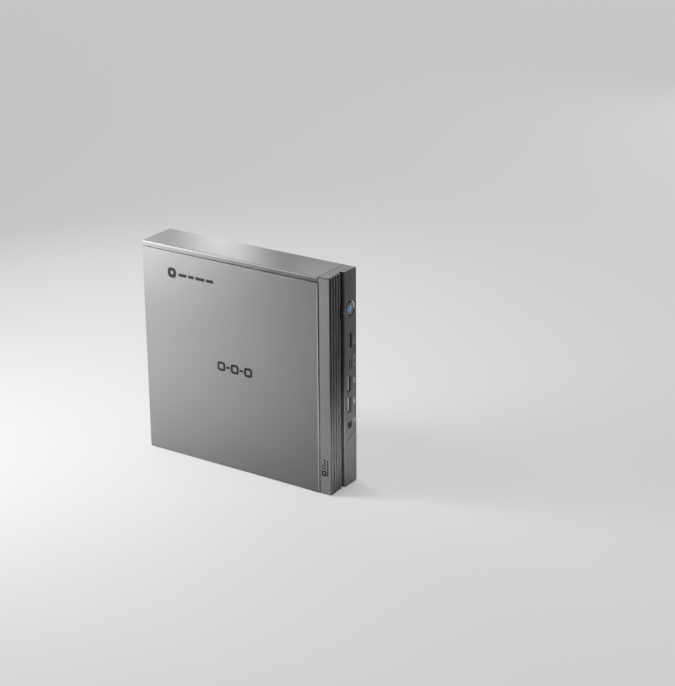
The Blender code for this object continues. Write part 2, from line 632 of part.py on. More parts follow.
# ---- board and what sits on it ------------------------------------------------------------
def make_board():
    board = prism("motherboard", "circuit_board",
                  rounded([(0.0740, 0.1700, 0.002), (-0.0800, 0.1700, 0.002),
                           (-0.0800, 0.0060, 0.002), (0.0740, 0.0060, 0.002)], 2),
                  BOARD_TOP_Y, BOARD_BACK_Y, "XZ")
    for i, (x, z) in enumerate(INSERT_XZ, 1):
        cut(board, cylinder(f"board_hole_{i}", None, (x, BOARD_TOP_Y, z), "Y", 0.0018, 0.010, 16))


def make_processor_and_cooler():
    x, z = -0.014, 0.076
    box("processor", "chip_black", (x - 0.012, PART_BASE_Y - 0.0014, z - 0.012),
        (x + 0.012, PART_BASE_Y, z + 0.012))
    plate_high = PART_BASE_Y - 0.0014 - GAP
    box("cold_plate", "copper", (x - 0.018, plate_high - 0.0024, z - 0.018),
        (x + 0.018, plate_high, z + 0.018), bevel=0.0004)
    pipe_y = plate_high - 0.0024 - GAP - 0.0026
    make_heat_pipe([(0.002, 0.062), (-0.014, 0.076), (-0.034, 0.094), (-0.056, 0.110),
                    (-0.070, 0.120), (-0.075, 0.130), (-0.075, 0.144), (-0.075, 0.156)], pipe_y)
    make_fins()


def make_heat_pipe(route, y):
    curve = bpy.data.curves.new("heat_pipe", "CURVE")
    curve.dimensions = "3D"
    curve.bevel_depth = 0.0025
    curve.bevel_resolution = 2
    curve.use_fill_caps = True
    spline = curve.splines.new("POLY")
    spline.points.add(len(route) - 1)
    for point, (x, z) in zip(spline.points, route):
        point.co = (x, y, z, 1.0)
    made = bpy.data.objects.new("heat_pipe", curve)
    PARTS.objects.link(made)
    curve.materials.append(SLOTS["copper"])


def make_fins():
    """A comb of thin fins with the air passing along X."""
    base_low, base_high, tip = 0.0, 0.0009, FAN_Y[0] + 0.0004
    pitch, thickness = 0.0024, 0.0005
    outline = [(base_high, GRILLE_Z[0]), (base_high, GRILLE_Z[1])]
    count = int((GRILLE_Z[1] - GRILLE_Z[0] - thickness) / pitch) + 1
    for i in reversed(range(count)):
        low = GRILLE_Z[0] + i * pitch
        top = low + thickness if i < count - 1 else GRILLE_Z[1]
        outline += [(base_low, top)] if i < count - 1 else []
        outline += [(tip, top), (tip, low)]
        outline += [(base_low, low)] if i > 0 else []
    prism("fin_block", "aluminium", outline, -0.0840, -0.0640, "YZ")


def make_blower():
    """Flat blower: a shell with an intake, an outlet towards the fins, and a shaft pin."""
    x, z = FAN_XZ
    low, high = FAN_Y
    half = 0.0325
    shell = prism("blower_housing", "dark_plastic",
                  rounded([(x + half, z + half, 0.020), (x - half, z + half, 0.002),
                           (x - half, z - half, 0.008), (x + half, z - half, 0.020)], 5),
                  low, high, "XZ")
    cavity = (low + 0.0010, high - 0.0010)
    cut(shell, cylinder("blower_cavity", None, (x, sum(cavity) / 2, z), "Y", 0.0300,
                        cavity[1] - cavity[0], 40),
        box("blower_outlet", None, (x - half - 0.001, cavity[0] + 0.0001, z - 0.012),
            (x, cavity[1] - 0.0001, z + half - 0.003)),
        cylinder("blower_intake", None, (x, low, z), "Y", 0.0180, 0.0060, 32))
    join(shell, cylinder("blower_pin", None, (x, high - 0.0045, z), "Y", FAN_SHAFT, 0.0080, 24))
    make_impeller(x, z, (low + 0.0020, high - 0.0020))


def make_impeller(x, z, span):
    """Hub with swept blades and a bore for the shaft pin, on its own turning axis."""
    outline = []
    width = 2 * pi / BLADE_COUNT
    sweep = radians(14)
    for i in range(BLADE_COUNT):
        base = i * width
        for radius, angle in ((FAN_HUB, base), (BLADE_TIP, base + sweep),
                              (BLADE_TIP, base + sweep + 0.03), (FAN_HUB, base + 0.09)):
            outline.append((radius * cos(angle), radius * sin(angle)))
    impeller = prism("blower_impeller", "dark_plastic", outline, span[0], span[1], "XZ")
    impeller.location = (x, impeller.location.y, z)
    cut(impeller, cylinder("impeller_bore", None, (x, sum(span) / 2, z), "Y", FAN_SHAFT + 0.00012,
                           0.020, 24))


def make_memory():
    """Two modules, one above the other, each held by the slot in its own socket."""
    for i in range(2):
        high = PART_BASE_Y - i * 0.0043
        low = high - 0.0040
        slot_low = low + 0.0010
        slot_high = slot_low + 0.0018
        z = 0.1215
        prism(f"memory_socket_{i + 1}", "chip_black",
              [(low, z), (high, z), (high, z + 0.0065), (slot_high, z + 0.0065),
               (slot_high, z + 0.0030), (slot_low, z + 0.0030), (slot_low, z + 0.0065),
               (low, z + 0.0065)], 0.0080, 0.0710, "YZ")
        board_low = slot_low + 0.0003
        module = box(f"memory_module_{i + 1}", "circuit_board",
                     (0.0060 + 0.0030, board_low, z + 0.0034), (0.0700, board_low + 0.0012, z + 0.0335))
        for chip in range(4):
            left = 0.0120 + chip * 0.0145
            join(module, box(f"memory_chip_{i + 1}_{chip + 1}", None,
                             (left, board_low - 0.0006, z + 0.0130),
                             (left + 0.0110, board_low + 0.0004, z + 0.0250)))


def make_storage_and_wireless():
    ssd = box("solid_state_drive", "circuit_board", (-0.0560, PART_BASE_Y - 0.0030, 0.0140),
              (0.0240, PART_BASE_Y - 0.0022, 0.0360))
    join(ssd, box("ssd_chip_1", None, (-0.0480, PART_BASE_Y - 0.0040, 0.0165),
                  (-0.0340, PART_BASE_Y - 0.0026, 0.0335)),
         box("ssd_chip_2", None, (-0.0300, PART_BASE_Y - 0.0040, 0.0165),
             (-0.0160, PART_BASE_Y - 0.0026, 0.0335)),
         box("ssd_connector", None, (0.0200, PART_BASE_Y - 0.0040, 0.0140),
             (0.0280, PART_BASE_Y, 0.0360)))
    cut(ssd, cylinder("ssd_screw_hole", None, (-0.0545, PART_BASE_Y, 0.0250), "Y", 0.0013, 0.02, 16))
    turned("ssd_screw", "steel",
           [(0, 0.0042), (0.0022, 0.0042), (0.0022, 0.0033), (0.0010, 0.0033), (0.0010, 0), (0, 0)],
           (-0.0545, PART_BASE_Y, 0.0250), "-Y", steps=16)
    card = box("wireless_card", "circuit_board", (0.0360, PART_BASE_Y - 0.0030, 0.0140),
               (0.0660, PART_BASE_Y - 0.0022, 0.0360))
    join(card, box("wireless_shield", None, (0.0400, PART_BASE_Y - 0.0042, 0.0165),
                   (0.0560, PART_BASE_Y - 0.0026, 0.0335)),
         box("wireless_connector", None, (0.0620, PART_BASE_Y - 0.0040, 0.0140),
             (0.0690, PART_BASE_Y, 0.0360)))
    for i, z in enumerate((0.0120, 0.1360), 1):
        box(f"aerial_{i}", "copper", (BEZEL_BACK_X + 0.0006, COVER_Y + 0.0030, z),
            (BEZEL_BACK_X + 0.0030, COVER_Y + 0.0038, z + 0.0320))


def make_coin_cell_and_speaker():
    x, z = 0.0350, 0.0830
    holder = cylinder("coin_cell_holder", "chip_black", (x, PART_BASE_Y - 0.0022, z), "Y", 0.0118,
                      0.0044, 32)
    cut(holder, cylinder("coin_cell_pocket", None, (x, PART_BASE_Y - 0.0032, z), "Y", 0.0103,
                         0.0044, 32))
    cylinder("coin_cell", "steel", (x, PART_BASE_Y - 0.0030, z), "Y", 0.0100, 0.0032, 32)
    speaker = box("speaker", "dark_plastic", (0.0280, PART_BASE_Y - 0.0090, 0.0430),
                  (0.0560, PART_BASE_Y, 0.0610), bevel=0.0008)
    cut(speaker, cylinder("speaker_mouth", None, (0.0420, PART_BASE_Y - 0.0090, 0.0520), "Y",
                          0.0070, 0.0030, 24))


clear_scene()
PARTS = make_collection("mini_pc")
CUTTERS = make_collection("cutters")
SLOTS = {slot: make_material(slot) for slot in MATERIALS}

make_sleeve()
make_side_cover()
make_bezel()
make_corner_insert()
make_vent_screen()
make_feet_and_inserts()
make_rear_plate()
make_cover_screws()
make_lock_frame()
make_front_sockets()
make_rear_sockets()
make_power_button()
make_recovery_button()
make_board()
make_processor_and_cooler()
make_blower()
make_memory()
make_storage_and_wireless()
make_coin_cell_and_speaker()
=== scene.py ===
"""Looks of the mini computer: finished surfaces, small printed marks, light and camera.

+X is the narrow side with the power button, -Y the large side cover, +Y the bracket side and
-X the narrow side with the rear sockets. Everything is in metres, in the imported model's frame.
"""
import json
from math import cos, pi, radians, sin

import bmesh
import bpy
from mathutils import Matrix, Vector


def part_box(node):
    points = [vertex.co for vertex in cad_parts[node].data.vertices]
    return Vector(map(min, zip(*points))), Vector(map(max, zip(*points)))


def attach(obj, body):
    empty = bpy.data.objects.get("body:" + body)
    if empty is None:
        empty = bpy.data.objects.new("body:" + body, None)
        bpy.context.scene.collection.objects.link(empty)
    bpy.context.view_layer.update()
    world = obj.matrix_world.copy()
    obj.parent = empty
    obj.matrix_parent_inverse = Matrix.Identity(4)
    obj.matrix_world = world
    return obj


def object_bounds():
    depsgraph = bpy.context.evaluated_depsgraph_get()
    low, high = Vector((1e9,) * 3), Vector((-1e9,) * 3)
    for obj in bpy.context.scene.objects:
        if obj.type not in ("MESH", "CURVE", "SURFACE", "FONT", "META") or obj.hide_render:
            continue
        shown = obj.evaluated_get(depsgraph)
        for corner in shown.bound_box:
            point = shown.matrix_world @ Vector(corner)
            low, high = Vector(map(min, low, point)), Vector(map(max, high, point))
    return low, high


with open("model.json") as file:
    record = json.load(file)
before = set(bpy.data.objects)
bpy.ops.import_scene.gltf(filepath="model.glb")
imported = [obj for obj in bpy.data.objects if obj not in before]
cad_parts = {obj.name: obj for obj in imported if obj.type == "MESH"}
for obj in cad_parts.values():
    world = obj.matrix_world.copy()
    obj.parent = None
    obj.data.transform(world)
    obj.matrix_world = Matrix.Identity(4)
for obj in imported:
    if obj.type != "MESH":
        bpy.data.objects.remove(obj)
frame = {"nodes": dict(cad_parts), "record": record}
CAD_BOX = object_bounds()
NODES = frame["nodes"]
SCENE = bpy.context.scene

CASING = "casing"
BUTTON = "power_button"

# ---- camera: a 100 mm lens at the viewer's place, a little above and to the right -----------
LENS = 99.97
CAMERA_PLACE = Vector((0.8318, -1.1289, 0.6432))
VIEW_AZIMUTH = 33.55
VIEW_ELEVATION = 21.11
VIEW_ROLL = -0.37

# ---- light: name, place, aim, size, power in watts and spread in degrees --------------------
SOFTBOXES = (
    ("key_softbox", (-0.34, -0.20, 0.15), (-0.06, 0, 0.12), (0.14, 0.20), 8.6, 180),
    ("corner_softbox", (-0.28, -0.24, 0.14), (-0.06, 0, 0.12), (0.14, 0.14), 2.3, 180),
    ("crown_softbox", (-0.45, 0.22, 0.40), (-0.03, 0, 0.178), (0.25, 0.25), 2.9, 180),
    ("rim_strip", (-0.345, 0.42, 0.32), (-0.03, 0, 0.178), (0.035, 0.20), 0.55, 180),
    ("end_softbox", (0.02, 0.12, 0.28), (0.075, 0.0, 0.178), (0.10, 0.10), 0.016, 50),
    ("edge_strip", (-0.129, -0.11, 0.373), (-0.129, -0.02, 0.178), (0.24, 0.05), 0.45, 80),
    ("low_softbox", (0.22, -0.05, 0.010), (0.089, 0.005, 0.036), (0.08, 0.016), 0.050, 45),
    ("side_softbox", (0.36, 0.06, 0.60), (0.36, 0.06, 0), (0.30, 0.50), 0.2, 60),
    ("back_softbox", (0.25, 1.3, 0.22), (0, 0, 0.09), (0.7, 0.3), 4.0, 180),
    ("floor_softbox", (-0.9, 2.6, 2.4), (-0.9, 2.6, 0.0), (3.5, 3.5), 50.0, 180),
)
CEILING_STRENGTH = 2.3
CEILING_ANGLE = 25
AIR_STRENGTH = 0.13
FLOOR_SIZE = 60.0
FLOOR_Z = -0.0003
FLOOR_GREY = 0.82

# ---- small pieces ---------------------------------------------------------------------------
INK = 0.00003  # printed marks stand this far out of their surface
FOOTING = -0.00002  # and reach this far into it
MITRE_LIMIT = 0.3  # keeps the corners of a sharply bent band from running out
EDGE_WIDTH = 0.00012  # rounding of the edges, wider on these nodes
WIDE_EDGES = {"housing_sleeve": 0.00025, **{f"rubber_foot_{i}": 0.0003 for i in range(1, 5)}}

# ---- marks on the cover: places are measured from its left side and from the ground ---------
UPPER_MARK_Z = 0.1562
UPPER_SQUARE = (0.0292, 0.0088, 0.0033, 0.0017)  # place, side, line, corner radius
# start and length of each dash
UPPER_DASHES = ((0.0356, 0.0082), (0.0450, 0.0060), (0.0522, 0.0092), (0.0626, 0.0072))
UPPER_DASH_DROP = 0.0006
UPPER_DASH_HEIGHT = 0.0028
MIDDLE_MARK_Z = 0.0868
MIDDLE_SQUARE = (0.0752, 0.0080, 0.0022, 0.0013)  # place, side, line, corner radius
MIDDLE_PITCH = 0.0130
MIDDLE_LINK = (0.0817, 0.0036, 0.0020)  # place, length, height

# ---- mark low on the bezel strip, measured from the strip's middle and from the ground ------
# across, up, width, height, line and corner radius of the square
STRIP_SQUARE = (-0.0010, 0.0180, 0.0046, 0.0048, 0.0014, 0.0009)
# across, foot and number of dashes of each column
STRIP_COLUMNS = ((-0.0022, 0.0214, 2), (-0.0002, 0.0214, 4), (0.0024, 0.0162, 6))
STRIP_PITCH = 0.0023
STRIP_DASH = (0.0018, 0.0012)  # length, width


def make_camera():
    data = bpy.data.cameras.new("camera")
    data.lens = LENS
    data.sensor_width = 36.0
    data.clip_start, data.clip_end = 0.05, 100.0
    camera = bpy.data.objects.new("camera", data)
    SCENE.collection.objects.link(camera)
    azimuth, elevation = radians(VIEW_AZIMUTH), radians(VIEW_ELEVATION)
    ahead = Vector((-sin(azimuth) * cos(elevation), cos(azimuth) * cos(elevation), -sin(elevation)))
    camera.rotation_mode = "QUATERNION"
    turn = ahead.to_track_quat("-Z", "Y").to_matrix() @ Matrix.Rotation(radians(VIEW_ROLL), 3, "Z")
    camera.rotation_quaternion = turn.to_quaternion()
    camera.location = CAMERA_PLACE
    SCENE.camera = camera


def make_light(name, place, aim, size, power, spread):
    data = bpy.data.lights.new(name, "AREA")
    data.shape = "RECTANGLE"
    data.size, data.size_y = size
    data.energy = power
    data.spread = radians(spread)
    light = bpy.data.objects.new(name, data)
    light.location = place
    light.rotation_euler = (Vector(aim) - Vector(place)).to_track_quat("-Z", "Y").to_euler()
    light.visible_camera = False
    SCENE.collection.objects.link(light)


def make_ceiling():
    """Even light from straight above, which leaves the upright faces alone."""
    data = bpy.data.lights.new("ceiling", "SUN")
    data.energy = CEILING_STRENGTH
    data.angle = radians(CEILING_ANGLE)
    SCENE.collection.objects.link(bpy.data.objects.new("ceiling", data))


def make_studio():
    """Pale floor, pale air and soft boxes: the strongest close ones stand left of the cover."""
    world = bpy.data.worlds.new("studio")
    world.use_nodes = True
    air = world.node_tree.nodes["Background"]
    air.inputs["Color"].default_value = (1.0, 1.0, 1.0, 1)
    air.inputs["Strength"].default_value = AIR_STRENGTH
    SCENE.world = world
    bpy.ops.mesh.primitive_plane_add(size=FLOOR_SIZE, location=(0, 0, FLOOR_Z))
    floor = bpy.context.object
    floor.name = "studio_floor"
    material = new_material("studio_floor")
    set_shader(material, (FLOOR_GREY, FLOOR_GREY, FLOOR_GREY), 0.8)
    floor.data.materials.append(material)
    for row in SOFTBOXES:
        make_light(*row)
    make_ceiling()


# ---- materials -----------------------------------------------------------------------------
def new_material(name):
    material = bpy.data.materials.new(name)
    material.use_nodes = True
    return material


def set_shader(material, color, roughness, metallic=0.0, emission=0.0):
    shader = material.node_tree.nodes["Principled BSDF"]
    shader.inputs["Base Color"].default_value = (*color, 1.0)
    shader.inputs["Roughness"].default_value = roughness
    shader.inputs["Metallic"].default_value = metallic
    if emission:
        shader.inputs["Emission Color"].default_value = (*color, 1.0)
        shader.inputs["Emission Strength"].default_value = emission
    return shader


class Surface:
    """Builds one node material: colour and roughness that vary, and a fine raised grain."""

    def __init__(self, name, color, roughness, metallic=0.0, emission=0.0):
        self.material = new_material(name)
        self.tree = self.material.node_tree
        self.shader = set_shader(self.material, color, roughness, metallic, emission)
        self.color = color
        self.roughness = roughness
        self.place = self.add("ShaderNodeTexCoord").outputs["Object"]
        self.normal = None

    def add(self, kind, **values):
        node = self.tree.nodes.new(kind)
        for key, value in values.items():
            setattr(node, key, value)
        return node

    def link(self, source, target):
        self.tree.links.new(source, target)

    def noise(self, scale, detail=2.0, stretch=(1, 1, 1)):
        mapping = self.add("ShaderNodeMapping")
        mapping.inputs["Scale"].default_value = stretch
        self.link(self.place, mapping.inputs["Vector"])
        node = self.add("ShaderNodeTexNoise")
        node.inputs["Scale"].default_value = scale
        node.inputs["Detail"].default_value = detail
        self.link(mapping.outputs["Vector"], node.inputs["Vector"])
        return node.outputs["Fac"]

    def along(self, axis):
        """The place along one of the object's own axes."""
        split = self.add("ShaderNodeSeparateXYZ")
        self.link(self.place, split.inputs["Vector"])
        return split.outputs[axis]

    def remap(self, source, low, high, start=0.3, finish=0.7):
        node = self.add("ShaderNodeMapRange")
        node.inputs["From Min"].default_value = start
        node.inputs["From Max"].default_value = finish
        node.inputs["To Min"].default_value = low
        node.inputs["To Max"].default_value = high
        self.link(source, node.inputs["Value"])
        return node.outputs["Result"]

    def vary_color(self, source, amount, start=0.3, finish=0.7):
        return self.grade_color(source, 1 - amount, 1 + amount, start, finish)

    def grade_color(self, source, low, high, start=0.0, finish=1.0):
        ramp = self.add("ShaderNodeValToRGB")
        for stop, gain, position in ((0, low, start), (1, high, finish)):
            ramp.color_ramp.elements[stop].position = position
            ramp.color_ramp.elements[stop].color = (*[min(1.0, c * gain) for c in self.color], 1)
        self.link(source, ramp.inputs["Fac"])
        self.link(ramp.outputs["Color"], self.shader.inputs["Base Color"])
        return self

    def vary_roughness(self, source, amount):
        low, high = self.roughness - amount, self.roughness + amount
        self.link(self.remap(source, low, high), self.shader.inputs["Roughness"])
        return self

    def raise_grain(self, source, height, strength=0.5):
        bump = self.add("ShaderNodeBump")
        bump.inputs["Strength"].default_value = strength
        bump.inputs["Distance"].default_value = height
        self.link(source, bump.inputs["Height"])
        if self.normal is not None:
            self.link(self.normal, bump.inputs["Normal"])
        self.normal = bump.outputs["Normal"]
        self.link(self.normal, self.shader.inputs["Normal"])
        return self


def painted(name, color, roughness, metallic):
    """Satin metallic paint with fine flakes."""
    made = Surface(name, color, roughness, metallic)
    made.vary_color(made.noise(9000, 1.0), 0.10)
    return spray(made)


def paint_with_shaded_lip(name, color, roughness, metallic):
    """Paint of the sleeve, with painted shade: its colour is halved on the narrow lip beside the
    cover.
    """
    made = Surface(name, color, roughness, metallic)
    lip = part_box("housing_sleeve")[0].y
    # painted shade: the lip's face, at the sleeve's lowest Y, gets half the colour
    made.grade_color(made.remap(made.along("Y"), 0.0, 1.0, lip + 0.0001, lip + 0.0004), 0.50, 1.0)
    return spray(made)


def spray(made):
    """The sprayed skin of both paints: slow roughness drift and very slight orange peel."""
    made.vary_roughness(made.noise(45, 3.0), 0.02)
    made.raise_grain(made.noise(700, 1.0), 0.00002, 0.10)
    made.raise_grain(made.noise(5200, 2.0), 0.00002, 0.22)
    return made.material


def moulded(name, color, roughness, grain=3200, height=0.00003, strength=0.5, specular=0.5):
    """Moulded plastic: fine spark-eroded texture and slow changes in sheen."""
    made = Surface(name, color, roughness)
    made.shader.inputs["Specular IOR Level"].default_value = specular
    made.vary_color(made.noise(110, 3.0), 0.06)
    made.vary_roughness(made.noise(70, 3.0), 0.05)
    made.raise_grain(made.noise(grain, 3.0), height, strength)
    return made.material


def rolled_metal(name, color, roughness, stretch=(1, 1, 12)):
    """Sheet or drawn metal: grain along one way and light handling marks."""
    made = Surface(name, color, roughness, 1.0)
    made.vary_color(made.noise(400, 4.0, stretch), 0.10)
    made.vary_roughness(made.noise(900, 3.0, stretch), 0.08)
    made.raise_grain(made.noise(1500, 2.0, stretch), 0.00001, 0.4)
    return made.material


def shaded_socket_shell(name, mouth, depth, color):
    """Plated shell, bright at its rim, with painted shade darkening its colour inwards until depth
    behind the mouth.
    """
    made = Surface(name, color, 0.38, 0.9)
    # painted shade: the colour falls towards the inside of the socket
    inside = made.remap(made.along("X"), 1.0, 0.0, mouth, mouth + depth)
    made.grade_color(inside, 0.015, 1.0, 0.35, 1.0)
    made.vary_roughness(made.noise(900, 3.0, (12, 1, 1)), 0.08)
    made.raise_grain(made.noise(1500, 2.0, (12, 1, 1)), 0.00001, 0.4)
    return made.material


def socket_tongue(name):
    """Pale plastic at the tongue's end, dark further in where hardly any light falls."""
    made = Surface(name, (0.15, 0.155, 0.155), 0.45)
    start, finish = FRONT_X - 0.0014, FRONT_X - 0.0029
    inside = made.remap(made.along("X"), 1.0, 0.0, start, finish)
    made.grade_color(inside, 0.06, 1.0, 0.2, 1.0)
    made.vary_roughness(made.noise(70, 3.0), 0.05)
    made.raise_grain(made.noise(1800, 3.0), 0.00002)
    return made.material


def woven_screen(name):
    """Dust screen: a square weave of fine dark threads."""
    made = Surface(name, (0.006, 0.006, 0.006), 0.8)
    threads = []
    for direction in ("Y", "Z"):
        wave = made.add("ShaderNodeTexWave", bands_direction=direction)
        wave.inputs["Scale"].default_value = 400
        made.link(made.place, wave.inputs["Vector"])
        threads.append(wave.outputs["Fac"])
    crossing = made.add("ShaderNodeMath", operation="MAXIMUM")
    made.link(threads[0], crossing.inputs[0])
    made.link(threads[1], crossing.inputs[1])
    weave = crossing.outputs["Value"]
    made.vary_color(weave, 0.6, 0.2, 0.9)
    made.raise_grain(weave, 0.0001, 0.8)
    return made.material


def circuit_board(name):
    """Green solder mask with faint copper runs beneath it."""
    made = Surface(name, (0.015, 0.085, 0.045), 0.35)
    cells = made.add("ShaderNodeTexVoronoi", feature="DISTANCE_TO_EDGE")
    cells.inputs["Scale"].default_value = 260
    made.link(made.place, cells.inputs["Vector"])
    runs = cells.outputs["Distance"]
    made.vary_color(runs, 0.35, 0.02, 0.10)
    made.vary_roughness(made.noise(300, 3.0), 0.06)
    made.raise_grain(runs, 0.00003, 0.4)
    return made.material


def lit(name, color, glow):
    """A lit plastic skin: finely frosted, with a glow of its own."""
    made = Surface(name, color, 0.35, emission=glow)
    made.vary_color(made.noise(900, 2.0), 0.15)
    made.raise_grain(made.noise(4000, 2.0), 0.00001, 0.3)
    return made.material


def printed(name, color):
    """Screen-printed ink: matt, and a little uneven in colour."""
    made = Surface(name, color, 0.70)
    made.shader.inputs["Specular IOR Level"].default_value = 0.03
    made.vary_color(made.noise(2500, 3.0), 0.15)
    made.raise_grain(made.noise(6000, 2.0), 0.00001, 0.4)
    return made.material


FRONT_X = CAD_BOX[1].x
FRONT_MOUTH_X = FRONT_X - 0.0002
REAR_MOUTH_X = CAD_BOX[0].x + 0.0007
MATERIALS = {
    "cover_paint": painted("cover_paint", (0.043, 0.043, 0.044), 0.36, 0.92),
    "sleeve_paint": paint_with_shaded_lip("sleeve_paint", (0.054, 0.054, 0.055), 0.34, 0.86),
    "bezel_plastic": moulded("bezel_plastic", (0.031, 0.031, 0.0317), 0.46,
                             height=0.00002, specular=0.24),
    "dark_plastic": moulded("dark_plastic", (0.022, 0.022, 0.023), 0.50),
    "button_plastic": moulded("button_plastic", (0.030, 0.030, 0.031), 0.38, 2600, 0.00002),
    "button_ring": painted("button_ring", (0.20, 0.20, 0.203), 0.24, 0.90),
    "icon_lens": lit("icon_lens", (0.003, 0.020, 0.034), 0.4),
    "screen_mesh": woven_screen("screen_mesh"),
    "steel": rolled_metal("steel", (0.56, 0.56, 0.56), 0.30),
    "socket_tongue": socket_tongue("socket_tongue"),
    "rubber": moulded("rubber", (0.02, 0.02, 0.02), 0.85, 1400, 0.00008, strength=0.8),
    "brass": rolled_metal("brass", (0.70, 0.50, 0.22), 0.32, (1, 10, 1)),
    "circuit_board": circuit_board("circuit_board"),
    "chip_black": moulded("chip_black", (0.025, 0.025, 0.027), 0.55, 2400),
    "copper": rolled_metal("copper", (0.72, 0.36, 0.22), 0.30),
    "aluminium": rolled_metal("aluminium", (0.72, 0.72, 0.73), 0.35, (12, 1, 1)),
}
# shaded copies of one plating: the front shells are painted darker than the rear one, as painted
# shade
FRONT_SHELL = shaded_socket_shell("front_socket_shell", FRONT_MOUTH_X, -0.0012, (0.14, 0.14, 0.14))
USB_C_SHELL = shaded_socket_shell("usb_c_shell", FRONT_MOUTH_X, -0.0060, (0.30, 0.30, 0.30))
REAR_SHELL = shaded_socket_shell("rear_socket_shell", REAR_MOUTH_X, 0.0030, (0.50, 0.50, 0.50))
CARD_SHELL = moulded("card_reader_inside", (0.012, 0.012, 0.012), 0.55)
DARK_INK = printed("dark_ink", (0.005, 0.005, 0.0052))
PALE_INK = printed("pale_ink", (0.24, 0.24, 0.245))
GOLD = rolled_metal("contact_gold", (0.80, 0.58, 0.24), 0.28, (6, 1, 1))
BLUE_LIGHT = lit("power_icon_light", (0.006, 0.16, 0.30), 1.0)
GREEN_LIGHT = lit("link_lamp_green", (0.04, 0.32, 0.08), 0.6)
AMBER_LIGHT = lit("link_lamp_amber", (0.55, 0.24, 0.02), 0.6)

OWN_FINISH = {
    "usb_a_front_1": FRONT_SHELL, "usb_a_front_2": FRONT_SHELL, "usb_c_front": USB_C_SHELL,
    "microsd_slot": CARD_SHELL,
    **dict.fromkeys(("usb_a_rear_1", "usb_a_rear_2", "usb_c_rear", "hdmi_port_1", "hdmi_port_2",
                     "lan_jack"), REAR_SHELL),
}
SLOT_OF = {row["node"]: row["material_slot"] for row in frame["record"]["subparts"]}


def dress_cad_nodes():
    """Give every node its finish, and round the edges of its outer shape."""
    for name, node in NODES.items():
        node.data.materials.clear()
        node.data.materials.append(OWN_FINISH.get(name, MATERIALS[SLOT_OF[name]]))
        soften(node, WIDE_EDGES.get(name, EDGE_WIDTH))


def soften(made, width):
    """Join the faceted faces again, round the sharp edges and keep the flats flat."""
    made.data.shade_smooth()
    weld = made.modifiers.new("weld", "WELD")
    weld.merge_threshold = 0.000002
    flats = made.modifiers.new("flats", "DECIMATE")
    flats.decimate_type = "DISSOLVE"
    flats.angle_limit = radians(0.5)
    round_edges(made, width)


def round_edges(made, width):
    edges = made.modifiers.new("edges", "BEVEL")
    edges.width = width
    edges.segments = 2
    edges.limit_method = "ANGLE"
    edges.angle_limit = radians(35)
    normals = made.modifiers.new("normals", "WEIGHTED_NORMAL")
    normals.keep_sharp = True
    normals.weight = 80


# ---- small pieces drawn as bands and discs that stand out of a face -------------------------
class Relief:
    """Builds one piece out of bands and discs laid on a face of the object.

    side names the face, level is that face's place on its axis, and low and high are heights
    measured outwards from it. The drawing's own u and v are world metres: X and Z on the cover
    and the bracket side, Y and Z on the two narrow sides.
    """

    PLACES = {"cover": lambda u, v, h, level: (u, level - h, v),
              "bracket": lambda u, v, h, level: (u, level + h, v),
              "front": lambda u, v, h, level: (level + h, u, v),
              "rear": lambda u, v, h, level: (level - h, u, v)}

    def __init__(self, side, level, low=FOOTING, high=INK):
        self.shape = bmesh.new()
        self.to_world = self.PLACES[side]
        self.level = level
        self.low, self.high = low, high

    def vertex(self, u, v, height):
        return self.shape.verts.new(self.to_world(u, v, height, self.level))

    def band(self, points, width, closed=False):
        """A stroke of even width along the points."""
        path = [Vector(point) for point in points]
        rows = []
        for i, here in enumerate(path):
            ways = []
            if i or closed:
                ways.append((here - path[i - 1]).normalized())
            if i < len(path) - 1 or closed:
                ways.append((path[(i + 1) % len(path)] - here).normalized())
            way = (ways[0] + ways[-1]).normalized()
            reach = width / 2 / max(MITRE_LIMIT, way.dot(ways[0]))
            side = Vector((-way.y, way.x)) * reach
            left, right = here + side, here - side
            rows.append([self.vertex(*left, self.low), self.vertex(*left, self.high),
                         self.vertex(*right, self.high), self.vertex(*right, self.low)])
        pairs = list(zip(rows, rows[1:])) + ([(rows[-1], rows[0])] if closed else [])
        for a, b in pairs:
            for k in range(4):
                self.shape.faces.new((a[k], a[(k + 1) % 4], b[(k + 1) % 4], b[k]))
        if not closed:
            self.shape.faces.new(rows[0])
            self.shape.faces.new(rows[-1][::-1])
        return self

    def bar(self, u, v, width, height):
        """A filled rectangle about a centre."""
        return self.band([(u - width / 2, v), (u + width / 2, v)], height)

    def frame(self, u, v, width, height, line, radius=0.0):
        """An open box drawn in a line of even width, with round corners if radius is given."""
        return self.band(rounded_box(u, v, width - line, height - line, radius), line, True)

    def arc(self, u, v, radius, line, start=0.0, finish=360.0, steps=32):
        whole = abs(finish - start) >= 360
        count = steps if whole else steps + 1
        points = [(u + radius * cos(radians(start + (finish - start) * i / steps)),
                   v + radius * sin(radians(start + (finish - start) * i / steps)))
                  for i in range(count)]
        return self.band(points, line, whole)

    def disc(self, u, v, radius, steps=20):
        ring = [(u + radius * cos(2 * pi * i / steps), v + radius * sin(2 * pi * i / steps))
                for i in range(steps)]
        low = [self.vertex(*point, self.low) for point in ring]
        high = [self.vertex(*point, self.high) for point in ring]
        self.shape.faces.new(low)
        self.shape.faces.new(high)
        for i in range(steps):
            j = (i + 1) % steps
            self.shape.faces.new((low[i], low[j], high[j], high[i]))
        return self

    def done(self, name, material, body=CASING):
        bmesh.ops.recalc_face_normals(self.shape, faces=self.shape.faces)
        return finish_piece(self.shape, name, material, body)


def rounded_box(u, v, width, height, radius, steps=4):
    """Corner points of a box with rounded corners, counter-clockwise."""
    if radius <= 0:
        return [(u - width / 2, v - height / 2), (u + width / 2, v - height / 2),
                (u + width / 2, v + height / 2), (u - width / 2, v + height / 2)]
    points = []
    for quarter, (a, b) in enumerate(((1, 1), (-1, 1), (-1, -1), (1, -1))):
        for i in range(steps + 1):
            turn = radians(90 * (quarter + i / steps))
            points.append((u + a * (width / 2 - radius) + radius * cos(turn),
                           v + b * (height / 2 - radius) + radius * sin(turn)))
    return points


